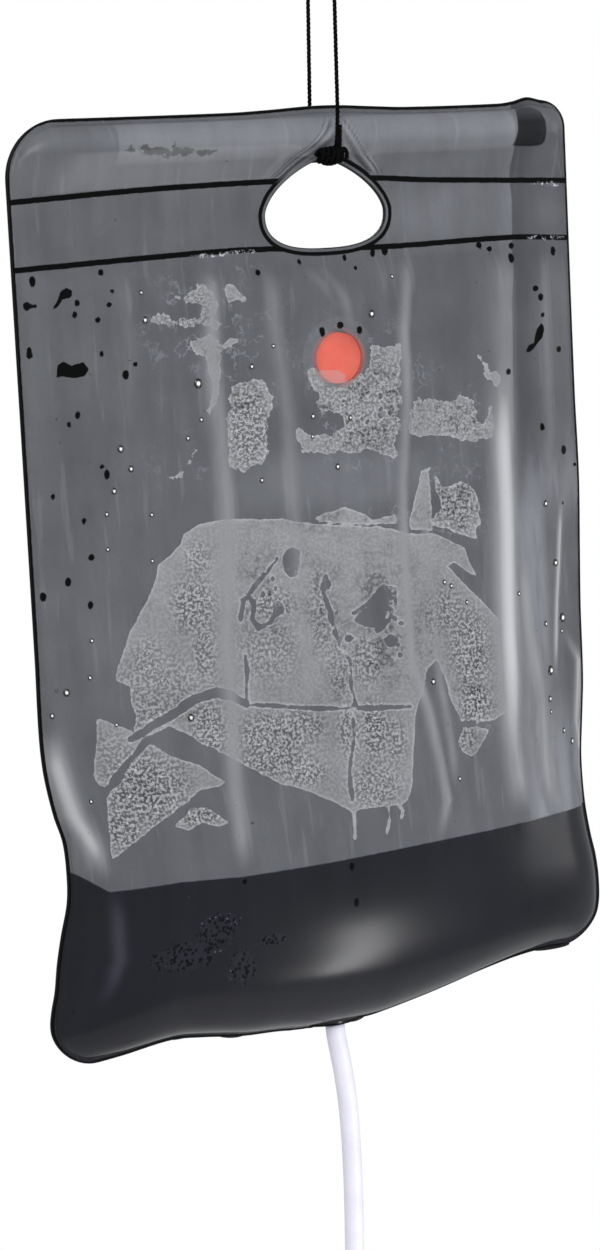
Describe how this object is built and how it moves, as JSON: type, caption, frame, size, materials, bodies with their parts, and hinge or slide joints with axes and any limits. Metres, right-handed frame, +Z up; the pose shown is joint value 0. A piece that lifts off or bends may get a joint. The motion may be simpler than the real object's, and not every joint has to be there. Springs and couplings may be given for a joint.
{
  "type": "camp shower bag",
  "caption": "Hanging camp shower bag: clear film over black film, rod sleeve with handle opening and rope loop, rear screw cap, water inside, and a hose with a tap and shower head.",
  "frame": {"origin": "inside top of the rope loop, where a hook or a branch holds the bag", "axes": "+Z up; +X across the bag, to the right seen from the clear front; +Y out of the black back, the side of the screw cap"},
  "size_m": [0.4126, 0.075, 1.2164],
  "materials": {
    "clear_film": "clear smoky film with condensation behind it",
    "black_film": "satin black film",
    "weld": "fused black strip",
    "rod": "drawn tube",
    "rod_plug": "moulded",
    "rope": "twisted cord",
    "valve": "clear moulding",
    "fill_cap": "red moulding",
    "seal": "soft rubber",
    "water": "clear water, dark before the black film",
    "outlet": "moulded",
    "hose": "smooth pale soft plastic",
    "tap_body": "moulded",
    "tap_plug": "moulded",
    "tap_lever": "red moulding",
    "screw": "turned",
    "shower_head": "moulded",
    "rose_plate": "moulded"
  },
  "bodies": {
    "bag": {"front_film": "clear_film", "back_film": "black_film", "edge_weld": "weld", "upper_seam_left": "weld", "upper_seam_right": "weld", "lower_seam_left": "weld", "lower_seam_right": "weld", "opening_weld": "weld", "hanging_rope": "rope", "rope_knot": "rope", "valve_body": "valve", "water_fill": "water", "outlet_boat": "outlet", "hose": "hose", "tap_body": "tap_body", "head_washer": "seal", "shower_head": "shower_head", "rose_plate": "rose_plate"},
    "gasket": {"cap_gasket": "seal"},
    "cap": {"fill_cap": "fill_cap"},
    "rod": {"handle_rod": "rod", "rod_plug_left": "rod_plug", "rod_plug_right": "rod_plug"},
    "tap": {"tap_plug": "tap_plug", "plug_ring_front": "seal", "plug_ring_rear": "seal", "tap_lever": "tap_lever", "lever_screw": "screw"}
  },
  "joints": [
    {"name": "cap_lift", "type": "slide", "parent": "bag", "child": "gasket", "axis": [0, 1, 0], "range_m": [0, 0.012]},
    {"name": "cap_turn", "type": "hinge", "parent": "gasket", "child": "cap", "pos_m": [0.0051, 0.00899, -0.2528], "axis": [0, 1, 0], "range_deg": [0, 1080]},
    {"name": "rod_slide", "type": "slide", "parent": "bag", "child": "rod", "axis": [1, 0, 0], "range_m": [-0.02, 0]},
    {"name": "tap_turn", "type": "hinge", "parent": "bag", "child": "tap", "pos_m": [-0.02653, 0, -1.15106], "axis": [0, -1, 0], "range_deg": [0, 90]}
  ],
  "couplings": [
    {"joint": "cap_lift", "follows": "cap_turn", "m_per_rad": 0.0006366}
  ]
}
